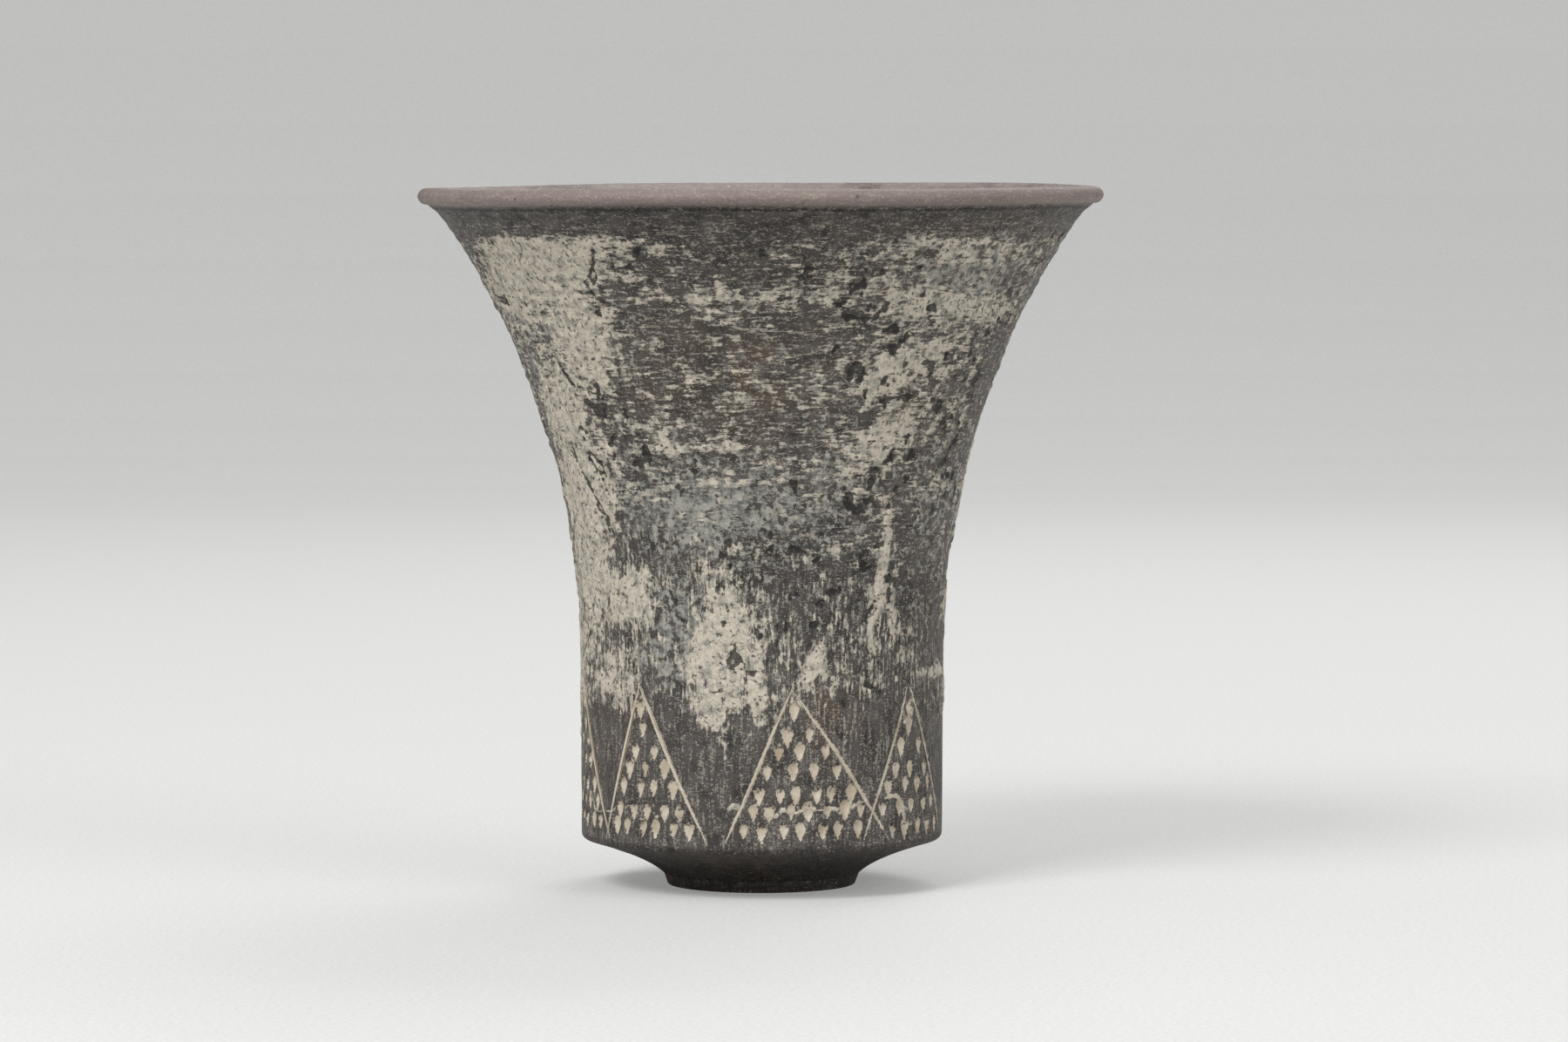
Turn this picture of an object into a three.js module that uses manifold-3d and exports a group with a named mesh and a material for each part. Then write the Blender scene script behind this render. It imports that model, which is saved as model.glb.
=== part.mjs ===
// A hand-built pottery beaker. A disc foot is luted under a shallow bowl, a straight strip of wall stands on
// the bowl's edge, three flaring strips stand on that, and a rolled lip closes the mouth. The straight strip
// carries eight incised triangles filled with stamped leaf marks, and white paste fills the incised lines.
// Millimetres, +Z up, origin at the centre of the foot's underside. Angles are turned from the front, which
// faces -Y, towards +X.
import * as THREE from "three";
import { ConvexGeometry } from "three/addons/geometries/ConvexGeometry.js";
import { mergeVertices } from "three/addons/utils/BufferGeometryUtils.js";
import Module from "manifold-3d";

const wasm = await Module();
wasm.setup();

// The vessel's outside.
const rimHeight = 160;
const rimRadius = 78.35;
const lipThickness = 3.7;
const lipDrop = 7.4; // from the top of the rim down to where the lip leaves the wall
const lipReach = 5.95; // from the wall there out to the rim
const lipCurl = 1.8; // how far the wall runs straight on before the lip curls out
const drumRadius = 41.3;
const flareStart = 51.5;
const shoulderHeight = 12.2; // where the straight wall meets the rounded edge over the bowl
const edgeRounding = 1.6;
const footRadius = 21.6;
const footHeight = 2.6;
const footFlare = 0.8; // how much wider the foot is where it meets the bowl
const footRounding = 0.5;

// The clay's thickness and the inside.
const wallThickness = 4.6;
const floorHeight = 8;
const dishRadius = 15.5; // the shallow hollow under the foot
const dishDepth = 1;

// The luted joints between the pieces of clay, which slope up from the outside to the inside.
const lap = 3.3;
const flaringStrips = 3;

// The incised and stamped band.
const bandTop = 49.8;
const bandMargin = 1.9; // bare clay over the triangles' points
const strokeEnd = 0.5; // bare clay between a line's end and the joint under it
const strokeWidth = 0.95;
const strokeDepth = 0.6;
const strokeEndDepth = 0.24; // at its two ends
const strokeOverrun = 0.9; // how far two lines run past the point where they meet
const pasteClearance = 0.06;
const pasteRecess = 0.06; // the paste's face lies this far under the clay's
const stampWidth = 2.5;
const stampLength = 3.7;
const stampDepth = 0.95;
const stampPitch = 4.15;
const stampRise = 4.45; // from one row of stamps to the next
const stampFirstRow = 3.6; // from the joint up to the lowest row
const stampInset = 2.85; // from a line to the middle of the nearest stamp
const stampVariation = 0.1; // how much larger or smaller than the mean a stamp may be

// Each triangle's left corner, point and right corner, in degrees.
const triangles = [
  [-11.7, 9.2, 44.1],
  [33.2, 52.9, 78],
  [81, 103, 127.5],
  [123, 147.5, 172],
  [175.5, 196, 217.5],
  [220, 241, 261],
  [263.5, 281.6, 304],
  [301.9, 318.4, 343],
];

// How finely the round shapes are divided.
const turns = 60;
const wallSteps = 3;
const curveSteps = 4;
const strokeSteps = 6;

// Sizes that follow from these.
const mouthHeight = rimHeight - lipDrop;
const mouthRadius = rimRadius - lipReach;
const flareOut = mouthRadius - drumRadius;
const flareRadius = ((mouthHeight - flareStart) ** 2 + flareOut ** 2) / (2 * flareOut);

const greyClay = new THREE.MeshStandardMaterial({ color: 0x6b6763, roughness: 0.82, metalness: 0 });
const rimClay = new THREE.MeshStandardMaterial({ color: 0x8f8580, roughness: 0.78, metalness: 0 });
const darkClay = new THREE.MeshStandardMaterial({ color: 0x4f4b48, roughness: 0.85, metalness: 0 });
const whitePaste = new THREE.MeshStandardMaterial({ color: 0xcdc4b4, roughness: 0.95, metalness: 0 });

// The wall's lean from upright at a height: none up to the flare, then along one large arc.
function lean(height) {
  return height <= flareStart ? 0 : Math.asin((height - flareStart) / flareRadius);
}

// A point of the wall's outside in section, as radius and height.
function outside(height) {
  return new THREE.Vector2(drumRadius + flareRadius * (1 - Math.cos(lean(height))), height);
}

// The point straight through the wall from the outside at that height.
function inside(height) {
  const through = new THREE.Vector2(-Math.cos(lean(height)), Math.sin(lean(height)));
  return outside(height).addScaledVector(through, wallThickness);
}

// Points on a quadratic curve in section, without its first one.
function curve(from, control, to) {
  return new THREE.QuadraticBezierCurve(from, control, to).getPoints(curveSteps).slice(1);
}

// Points on a round stretch in section, from one angle to another in degrees.
function arc(centre, radius, start, end) {
  const [from, to] = [start, end].map(THREE.MathUtils.degToRad);
  return new THREE.EllipseCurve(centre.x, centre.y, radius, radius, from, to, end < start).getPoints(curveSteps);
}

// A closed section turned round the vessel's axis.
function turned(profile) {
  return new THREE.LatheGeometry(profile, turns).rotateX(Math.PI / 2);
}

// A closed mesh as a solid that can be cut and joined, and back again.
function solid(geometry) {
  const bare = geometry.clone().deleteAttribute("normal").deleteAttribute("uv");
  const merged = mergeVertices(bare, 1e-4);
  const triVerts = new Uint32Array(merged.index.array);
  const vertProperties = merged.attributes.position.array;
  return new wasm.Manifold(new wasm.Mesh({ numProp: 3, vertProperties, triVerts }));
}

function geometryOf(manifold) {
  const mesh = manifold.getMesh();
  const geometry = new THREE.BufferGeometry();
  geometry.setAttribute("position", new THREE.BufferAttribute(mesh.vertProperties, 3));
  geometry.setIndex(new THREE.BufferAttribute(mesh.triVerts, 1));
  geometry.computeVertexNormals();
  return geometry;
}

// The disc foot, with a shallow hollow under it so that it stands on a ring.
function foot() {
  const hollow = curve(new THREE.Vector2(0, dishDepth), new THREE.Vector2(dishRadius * 0.6, dishDepth),
    new THREE.Vector2(dishRadius, 0));
  const edge = arc(new THREE.Vector2(footRadius - footRounding, footRounding), footRounding, -90, 0);
  return turned([
    new THREE.Vector2(0, dishDepth),
    ...hollow,
    ...edge,
    new THREE.Vector2(footRadius + footFlare, footHeight),
    new THREE.Vector2(0, footHeight),
  ]);
}

// The shallow bowl, from the foot out to the sharp edge that the wall stands on.
function bowl() {
  const footJoint = new THREE.Vector2(footRadius + footFlare, footHeight);
  const edgeTop = outside(shoulderHeight);
  const edgeFoot = new THREE.Vector2(drumRadius - edgeRounding * 0.65, shoulderHeight - edgeRounding);
  const edgeCorner = new THREE.Vector2(drumRadius, shoulderHeight - edgeRounding * 0.78);
  const hollowTurn = new THREE.Vector2(
    THREE.MathUtils.lerp(footJoint.x, edgeFoot.x, 0.23), THREE.MathUtils.lerp(footHeight, edgeFoot.y, 0.5));
  const jointTop = inside(shoulderHeight + lap);
  const floorTurn = new THREE.Vector2(jointTop.x * 0.9, floorHeight * 1.05);
  return turned([
    new THREE.Vector2(0, footHeight),
    footJoint,
    ...curve(footJoint, hollowTurn, edgeFoot),
    ...curve(edgeFoot, edgeCorner, edgeTop),
    jointTop,
    ...curve(jointTop, floorTurn, new THREE.Vector2(0, floorHeight)),
  ]);
}

// A strip of wall between two joints. Each joint is given by its height outside and at the inside's far end.
function strip(lower, upper) {
  const rising = [];
  const falling = [];
  for (let i = 0; i <= wallSteps; i++) {
    rising.push(outside(THREE.MathUtils.lerp(lower.outer, upper.outer, i / wallSteps)));
    falling.push(inside(THREE.MathUtils.lerp(upper.inner, lower.inner, i / wallSteps)));
  }
  return turned([...rising, ...falling, rising[0].clone()]);
}

// The rolled lip: it curls out from the wall under a round bead and slopes back inside.
function lip() {
  const beadRadius = lipThickness / 2;
  const bead = arc(new THREE.Vector2(rimRadius - beadRadius, rimHeight - beadRadius), beadRadius, -70, 90);
  const along = new THREE.Vector2(Math.sin(lean(mouthHeight)), Math.cos(lean(mouthHeight)));
  const root = outside(mouthHeight);
  const innerRoot = inside(mouthHeight);
  const underTurn = root.clone().addScaledVector(along, lipCurl);
  const innerTurn = innerRoot.clone().addScaledVector(along, lipThickness);
  return turned([
    root,
    ...curve(root, underTurn, bead[0]),
    ...bead.slice(1),
    ...curve(bead.at(-1), innerTurn, innerRoot),
    root.clone(),
  ]);
}

// A point over or under the wall's outside, turned from the front.
function onWall(angle, height, lift) {
  const turn = THREE.MathUtils.degToRad(angle);
  const radius = outside(height).x + lift * Math.cos(lean(height));
  return new THREE.Vector3(radius * Math.sin(turn), -radius * Math.cos(turn), height - lift * Math.sin(lean(height)));
}

const degreesPerMillimetre = THREE.MathUtils.radToDeg(1 / drumRadius);
const sideSlope = strokeWidth / 2 / strokeDepth;

// A V-shaped bar along a straight stroke on the wall, from a lift over the wall down to its edge. It is shallow
// at the ends, where the point was set down and lifted, and its sides slope alike all along. It serves as the
// tool that cuts a line, and, made shallower, as the paste that fills it.
function strokeBar(start, end, top, shallower) {
  const run = new THREE.Vector2((end.angle - start.angle) / degreesPerMillimetre, end.height - start.height);
  const length = run.length();
  const across = new THREE.Vector2(-run.y, run.x).divideScalar(length);
  const positions = [];
  for (let i = 0; i <= strokeSteps; i++) {
    const share = THREE.MathUtils.mapLinear(i, 0, strokeSteps, -strokeOverrun / length, 1);
    const pressed = THREE.MathUtils.lerp(strokeEndDepth, strokeDepth, Math.sqrt(Math.sin((Math.PI * i) / strokeSteps)));
    const depth = pressed - shallower;
    const angle = THREE.MathUtils.lerp(start.angle, end.angle, share);
    const height = THREE.MathUtils.lerp(start.height, end.height, share);
    const side = (depth + top) * sideSlope;
    for (const way of [1, -1]) {
      const turn = angle + way * across.x * side * degreesPerMillimetre;
      positions.push(...onWall(turn, height + way * across.y * side, top));
    }
    positions.push(...onWall(angle, height, -depth));
  }
  const faces = [0, 2, 1];
  for (let i = 0; i < strokeSteps; i++) {
    for (let side = 0; side < 3; side++) {
      const [a, b] = [3 * i + side, 3 * i + ((side + 1) % 3)];
      faces.push(a, b, a + 3, b, b + 3, a + 3);
    }
  }
  const last = 3 * strokeSteps;
  faces.push(last, last + 1, last + 2);
  const bar = new THREE.BufferGeometry();
  bar.setAttribute("position", new THREE.Float32BufferAttribute(positions, 3));
  bar.setIndex(faces);
  return solid(bar);
}

const firstJoint = { outer: shoulderHeight, inner: shoulderHeight + lap };
const pointHeight = bandTop - bandMargin;
const cornerHeight = shoulderHeight + strokeEnd;

// The two lines of one triangle, from its point down to its corners.
function strokes([left, point, right]) {
  const start = { angle: point, height: pointHeight };
  return [left, right].map((angle) => [start, { angle, height: cornerHeight }]);
}

// The tool for a line stands this far proud of the wall.
const toolProud = 0.35;

function lineTool([start, end]) {
  return strokeBar(start, end, toolProud, 0);
}

// The paste in a line keeps its clearance square to the line's sloping sides.
function linePaste([start, end]) {
  const shallower = pasteClearance / Math.sin(Math.atan(sideSlope));
  return strokeBar(start, end, -pasteRecess, shallower);
}

// The angle of a triangle's side at a height.
function sideAt(point, corner, height) {
  return THREE.MathUtils.mapLinear(height, pointHeight, cornerHeight, point, corner);
}

// The places of one triangle's stamps: rows that shorten towards its point and keep clear of the lines of the
// neighbours that it overlaps.
function stampPlaces(triangle, before, after) {
  const inset = stampInset * degreesPerMillimetre;
  const places = [];
  const rows = Math.floor((pointHeight - shoulderHeight - stampFirstRow) / stampRise);
  for (let row = 0; row < rows; row++) {
    const height = shoulderHeight + stampFirstRow + row * stampRise;
    const from = Math.max(sideAt(triangle[1], triangle[0], height), sideAt(before[1], before[2], height)) + inset;
    const to = Math.min(sideAt(triangle[1], triangle[2], height), sideAt(after[1], after[0], height)) - inset;
    const count = Math.max(1, 1 + Math.floor((to - from) / (stampPitch * degreesPerMillimetre)));
    for (let i = 0; i < count; i++) {
      const angle = count > 1 ? THREE.MathUtils.lerp(from, to, i / (count - 1)) : (from + to) / 2;
      places.push({ angle, height, number: 7 * row + 3 * i + triangle[1] });
    }
  }
  return places;
}

// One leaf-shaped stamp pressed with a pointed tool: blunt and deep above, shallow and pointed below. Each
// differs a little in size, as pressed by hand.
function stampTool({ angle, height, number }) {
  const size = 1 + stampVariation * Math.sin(5.3 * number);
  const [width, length] = [stampWidth * size, stampLength * size];
  const shift = 0.08 * stampPitch * Math.sin(2.1 * number);
  const at = (across, up, lift) =>
    onWall(angle + (across * width) * degreesPerMillimetre, height + shift + up * length, lift);
  return solid(new ConvexGeometry([
    at(-0.3, 0.62, toolProud),
    at(0.3, 0.62, toolProud),
    at(0.62, 0.15, toolProud),
    at(-0.62, 0.15, toolProud),
    at(0, -0.68, toolProud),
    at(0, 0.26, -stampDepth * size),
    at(0, -0.1, -0.6 * stampDepth * size),
  ]));
}

const beaker = new THREE.Group();

function place(name, geometry, material) {
  const mesh = new THREE.Mesh(geometry, material);
  mesh.name = name;
  beaker.add(mesh);
}

place("foot_disc", foot(), darkClay);
place("base_bowl", bowl(), darkClay);

// The straight strip is cut by every line and every stamp.
const bandJoint = { outer: bandTop, inner: bandTop + lap };
const tools = triangles.flatMap((triangle, i) => {
  const full = 360;
  const before = triangles.at(i - 1).map((angle) => (i ? angle : angle - full));
  const after = triangles[(i + 1) % triangles.length].map((angle) => (i + 1 < triangles.length ? angle : angle + full));
  return [...strokes(triangle).map(lineTool), ...stampPlaces(triangle, before, after).map(stampTool)];
});
const decorated = solid(strip(firstJoint, bandJoint)).subtract(wasm.Manifold.union(tools));
place("decorated_wall", geometryOf(decorated), greyClay);

const flaringNames = ["waist_wall", "flaring_wall", "mouth_wall"];
for (let i = 0; i < flaringStrips; i++) {
  const heights = [i, i + 1].map((n) => THREE.MathUtils.lerp(bandTop, mouthHeight, n / flaringStrips));
  const upperLap = i + 1 < flaringStrips ? lap : 0;
  const lower = { outer: heights[0], inner: heights[0] + lap };
  const upper = { outer: heights[1], inner: heights[1] + upperLap };
  place(flaringNames[i], strip(lower, upper), greyClay);
}
place("rolled_lip", lip(), rimClay);

// Where the lines of neighbouring triangles cross, their paste is one piece, so such neighbours are one group.
let group = [];
let number = 1;
triangles.forEach((triangle, i) => {
  group.push(...strokes(triangle).map(linePaste));
  const next = triangles[i + 1];
  if (next && next[0] < triangle[2]) return;
  place("line_paste_" + number++, geometryOf(wasm.Manifold.union(group)), whitePaste);
  group = [];
});

export default beaker;
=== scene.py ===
"""The looks of a hand-built pottery beaker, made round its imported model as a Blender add-on.

Lengths are metres. Angles round the pot are degrees from the front, which faces -Y, towards +X.
"""
import math

import bmesh
import bpy
import numpy as np
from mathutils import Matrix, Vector


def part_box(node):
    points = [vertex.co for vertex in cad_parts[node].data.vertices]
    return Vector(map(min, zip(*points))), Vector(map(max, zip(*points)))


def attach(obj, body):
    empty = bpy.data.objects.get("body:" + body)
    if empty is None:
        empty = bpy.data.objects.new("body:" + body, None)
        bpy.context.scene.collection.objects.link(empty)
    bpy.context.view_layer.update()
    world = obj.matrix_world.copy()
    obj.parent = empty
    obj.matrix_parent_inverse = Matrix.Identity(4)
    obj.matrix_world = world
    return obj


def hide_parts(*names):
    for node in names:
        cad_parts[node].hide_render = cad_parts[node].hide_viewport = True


bl_info = {
    "name": "Pottery beaker",
    "version": (1, 0, 0),
    "blender": (4, 5, 0),
    "location": "View3D > Sidebar > Beaker",
    "description": "Builds a crusted, hand-built clay beaker and its plain studio",
    "category": "Add Mesh",
}

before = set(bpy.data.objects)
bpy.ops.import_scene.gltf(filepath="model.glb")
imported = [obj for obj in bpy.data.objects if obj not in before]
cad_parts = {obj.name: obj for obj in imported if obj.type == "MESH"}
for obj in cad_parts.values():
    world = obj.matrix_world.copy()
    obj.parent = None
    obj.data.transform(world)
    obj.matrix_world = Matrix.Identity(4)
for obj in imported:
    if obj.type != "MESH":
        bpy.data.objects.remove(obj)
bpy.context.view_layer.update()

MM = 0.001


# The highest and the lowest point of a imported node, and how far it reaches from the pot's axis.


def top(node):
    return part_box(node)[1].z


def bottom(node):
    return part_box(node)[0].z


def reach(node):
    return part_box(node)[1].x


# The pot's section, worked out from the frame. The flare is one large arc that starts upright.
RIM_HEIGHT = top("rolled_lip")
RIM_RADIUS = reach("rolled_lip")
LIP_FOOT = bottom("rolled_lip")
DRUM_RADIUS = reach("decorated_wall")
EDGE_HEIGHT = bottom("decorated_wall")
FOOT_HEIGHT = top("foot_disc")
FOOT_RADIUS = reach("foot_disc")
MOUTH_RADIUS = reach("mouth_wall")
LAP = top("base_bowl") - EDGE_HEIGHT
BAND_TOP = top("decorated_wall") - LAP
WALL = 4.6 * MM
FLARE_START = 51.5 * MM
FLARE_OUT = MOUTH_RADIUS - DRUM_RADIUS
FLARE_RADIUS = ((LIP_FOOT - FLARE_START) ** 2 + FLARE_OUT**2) / (2 * FLARE_OUT)
EDGE_ROUNDING = 1.6 * MM
FLOOR_HEIGHT = 8 * MM
LIP_THICKNESS = 3.7 * MM
DISH_RADIUS = 15.5 * MM
DISH_DEPTH = 1 * MM
FOOT_TAPER = 0.8 * MM
FOOT_ROUNDING = 0.5 * MM
LIP_GROOVE = 1.9 * MM
TINY = 1e-6

# Each triangle's left corner, point and right corner, in degrees.
TRIANGLES = (
    (-11.7, 9.2, 44.1),
    (33.2, 52.9, 78.0),
    (81.0, 103.0, 127.5),
    (123.0, 147.5, 172.0),
    (175.5, 196.0, 217.5),
    (220.0, 241.0, 261.0),
    (263.5, 281.6, 304.0),
    (301.9, 318.4, 343.0),
)
POINT_HEIGHT = BAND_TOP - 1.9 * MM
CORNER_HEIGHT = EDGE_HEIGHT + 0.5 * MM
STROKE_WIDTH = 0.95 * MM
STROKE_DEPTH = 0.6 * MM
STROKE_OVERRUN = 0.9 * MM
STAMP_WIDTH = 2.5 * MM
STAMP_LENGTH = 3.7 * MM
STAMP_DEPTH = 0.95 * MM
STAMP_PITCH = 4.15 * MM
STAMP_RISE = 4.45 * MM
STAMP_FIRST_ROW = 3.6 * MM
STAMP_INSET = 2.85 * MM
STAMP_VARIATION = 0.1
DEGREES_PER_METRE = math.degrees(1 / DRUM_RADIUS)
BAND_MARGIN = 1.5 * MM
LINE_WOBBLE = 0.12 * MM
LINE_WOBBLE_LENGTH = 5 * MM
STAMP_HALF_TURN = 4
STAMP_HALF_HEIGHT = 3.5 * MM

# How finely the clay is meshed: columns round the pot, spans up each face of a wall, and the row spacing.
COLUMNS = 800
OUTER_SPANS = 40
INNER_SPANS = 18
OUTER_STEP = 0.44 * MM
INNER_STEP = 2 * MM

# The size of the wall's unevenness: broad swells, lumps and grit.
SWELL_SIZE = 0.045
LUMP_SIZE = 0.011
GRIT_SIZE = 0.0026

# The fine turning marks on the flare, the height up to which the foot stays flat on the table, how far the
# surface may lie in or stand out, and the angle past which an edge stays sharp.
TURNING_DEPTH = 0.06 * MM
TURNING_PITCH = 0.42 * MM
RESTING_HEIGHT = 0.6 * MM
DEEPEST = -1.0 * MM
PROUDEST = 0.5 * MM
CREASE = math.radians(62)


def lean(height):
    """The wall's lean from upright at a height, or at many."""
    return np.arcsin(np.clip((np.asarray(height) - FLARE_START) / FLARE_RADIUS, 0, 1))


def outside(height):
    """Radius and height of the wall's outside at a height."""
    return DRUM_RADIUS + FLARE_RADIUS * (1 - np.cos(lean(height))), height


def inside(height):
    """Radius and height of the wall's inside, straight through the wall from the outside at a height."""
    radius, level = outside(height)
    return radius - WALL * np.cos(lean(height)), level + WALL * np.sin(lean(height))


def spaced(points, step):
    """The line through points, with a point about every step."""
    out = [points[0]]
    for a, b in zip(points, points[1:]):
        n = max(1, round(math.dist(a, b) / step))
        out += [(a[0] + (b[0] - a[0]) * i / n, a[1] + (b[1] - a[1]) * i / n) for i in range(1, n + 1)]
    return out


def bend(start, turn, end, n=24):
    """A quadratic curve, without its first point."""
    out = []
    for i in range(1, n + 1):
        t = i / n
        shares = ((1 - t) ** 2, 2 * t * (1 - t), t * t)
        out.append(tuple(shares[0] * a + shares[1] * b + shares[2] * c for a, b, c in zip(start, turn, end)))
    return out


def wall_line(face, low, high, spans):
    """Points up or down one face of the wall."""
    return [face(low + (high - low) * i / spans) for i in range(spans + 1)]


# Noise, the same on each run. Each lattice point picks one of the gradients by its place and the seed.
LATTICE_PRIMES = (73856093, 19349663, 83492791)
SEED_FACTOR = 2654435
GRADIENT_COUNT = 4096
GRADIENTS = np.random.default_rng(5).normal(size=(GRADIENT_COUNT, 3))
GRADIENTS /= np.linalg.norm(GRADIENTS, axis=1)[:, None]


def ripple(points, seed):
    """One octave of gradient noise, about -1 to 1, with features one unit across."""
    cell = np.floor(points).astype(np.int64)
    part = points - cell
    ease = part**3 * (part * (part * 6 - 15) + 10)
    total = np.zeros(len(points))
    for corner in range(8):
        step = np.array([corner & 1, corner >> 1 & 1, corner >> 2 & 1])
        at = cell + step
        x, y, z = (at[:, axis] * prime for axis, prime in enumerate(LATTICE_PRIMES))
        pick = (x ^ y ^ z ^ seed * SEED_FACTOR) & GRADIENT_COUNT - 1
        near = np.prod(np.where(step, ease, 1 - ease), axis=1)
        total += near * np.einsum("ij,ij->i", GRADIENTS[pick], part - step)
    return total * 1.6


def field(points, size, octaves, seed):
    """Rough noise from 0 to 1 at points, with features of about that size."""
    total = np.zeros(len(points))
    for octave in range(octaves):
        scaled = points * (2.03**octave / size) + 17.3 * (seed + octave)
        total += ripple(scaled, seed + octave) * 0.55**octave
    return np.clip(0.5 + 0.42 * total, 0, 1)


def smooth(low, high, value):
    """0 below low, 1 above high, and an even ease between them."""
    t = np.clip((value - low) / (high - low), 0, 1)
    return t * t * (3 - 2 * t)


# Patches of the finish, as seen in the photograph: name of the layer, angle and height of the
# middle in degrees and millimetres, half width in degrees, half height in millimetres, tilt and strength.
PATCHES = (
    ("crust", -52, 141, 22, 11, 0.3, 0.62),
    ("crust", -44, 126, 12, 11, 0.3, 0.5),
    ("crust", -62, 108, 14, 15, 0.3, 0.5),
    ("crust", -62, 90, 16, 16, 0.2, 0.6),
    ("crust", -66, 72, 18, 16, 0.0, 0.5),
    ("crust", -42, 117, 3, 2.6, 0.0, 0.9),
    ("crust", -47, 68, 11, 7, 0.1, 0.65),
    ("crust", -14, 55, 9, 13, 0.35, 0.72),
    ("crust", -12, 40, 10, 8, -0.2, 0.5),
    ("crust", -2, 47, 3, 12, 0.0, 0.45),
    ("crust", -56, 50, 14, 9, 0.0, 0.35),
    ("crust", 39, 73, 2.0, 12, 0.05, 0.75),
    ("crust", 36, 60, 1.8, 7, 0.05, 0.55),
    ("crust", 44, 66, 1.6, 9, 0.05, 0.5),
    ("crust", 4, 136, 34, 1.8, 0.02, 0.3),
    ("crust", 46, 134, 26, 4, -0.12, 0.34),
    ("crust", 44, 146, 24, 4, -0.1, 0.25),
    ("crust", 36, 120, 14, 6, 0.3, 0.4),
    ("crust", 34, 104, 12, 8, 0.4, 0.32),
    ("crust", -14, 102, 22, 1.5, 0.0, 0.3),
    ("crust", -8, 94, 18, 1.2, 0.05, 0.26),
    ("crust", 16, 53, 4.2, 3.4, 0.5, 0.6),
    ("crust", 70, 50, 14, 1.3, 0.0, 0.55),
    ("crust", -45, 27, 9, 7, -0.3, 0.35),
    ("film", -14, 88, 30, 13, 0.0, 0.5),
    ("film", -30, 60, 16, 14, 0.2, 0.4),
    ("film", -48, 130, 20, 12, 0.0, 0.34),
    ("film", 46, 140, 24, 10, 0.0, 0.42),
    ("film", 20, 92, 18, 10, 0.0, 0.32),
    ("film", 62, 90, 16, 20, 0.0, 0.3),
    ("brown", -6, 118, 24, 12, 0.0, 0.9),
    ("brown", 44, 142, 28, 10, 0.0, 0.8),
    ("brown", 22, 44, 9, 11, 0.0, 0.8),
    ("brown", 48, 108, 16, 12, 0.0, 0.6),
    ("brown", -58, 44, 14, 12, 0.0, 0.7),
    ("brown", 64, 62, 12, 22, 0.0, 0.4),
    ("dark", -16, 118, 8, 9, 0.0, 0.75),
    ("dark", -2, 75, 22, 7, 0.1, 0.8),
    ("dark", 44, 62, 26, 13, 0.0, 0.75),
    ("dark", -4, 146, 30, 6, 0.0, 0.6),
    ("dark", -66, 132, 5, 5, 0.3, 0.8),
    ("dark", -42, 92, 4, 4, 0.3, 0.9),
    ("dark", 24, 60, 10, 9, 0.0, 0.7),
    ("dark", -36, 76, 7, 6, 0.5, 0.6),
)

# Long dark scratches and cracks: angle and height in millimetres of each end.
SCARS = (
    (-65, 104, -47, 78),
    (-55, 100, -44, 92),
    (-32, 148, -37, 134),
    (-60, 126, -50, 112),
    (-30, 70, -22, 58),
    (8, 96, 12, 82),
    (150, 120, 168, 96),
    (-140, 90, -128, 76),
)


def scarred(angle, height, points):
    """How strongly the long cracks show at each point."""
    total = np.zeros(len(angle))
    sway = (field(points, 0.006, 3, 91) - 0.5) * 3 * MM
    for at_a, up_a, at_b, up_b in SCARS:
        middle = (up_a + up_b) / 2 * MM
        arc = np.radians(1) * outside(middle)[0]
        run = np.array([(at_b - at_a) * arc, (up_b - up_a) * MM])
        x, z = wrapped(angle - at_a) * arc, height - up_a * MM
        along = (x * run[0] + z * run[1]) / (run @ run)
        across = np.abs(x * run[1] - z * run[0]) / np.hypot(*run) + sway
        ends = smooth(0, 0.15, along) * (1 - smooth(0.85, 1, along))
        total = np.maximum(total, ends * (1 - smooth(0.2 * MM, 0.8 * MM, np.abs(across))))
    return total


def patch(layer, angle, height):
    """How much of a layer, from its listed patches, lies at each angle and height."""
    total = np.zeros(len(angle))
    for name, at, up, wide, tall, tilt, strength in PATCHES:
        if name != layer:
            continue
        across = (angle - at) / wide
        along = (height / MM - up - tilt * (angle - at)) / tall
        total = np.maximum(total, strength * np.exp(-(across**2 + along**2) * 0.9))
    return total


def triangle_lines():
    """Every incised line, as start and end angle and height."""
    for left, point, right in TRIANGLES:
        for corner in (left, right):
            yield (point, POINT_HEIGHT), (corner, CORNER_HEIGHT)


def side_at(point, corner, height):
    """The angle of a triangle's side at a height."""
    return point + (corner - point) * (POINT_HEIGHT - height) / (POINT_HEIGHT - CORNER_HEIGHT)


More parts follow.
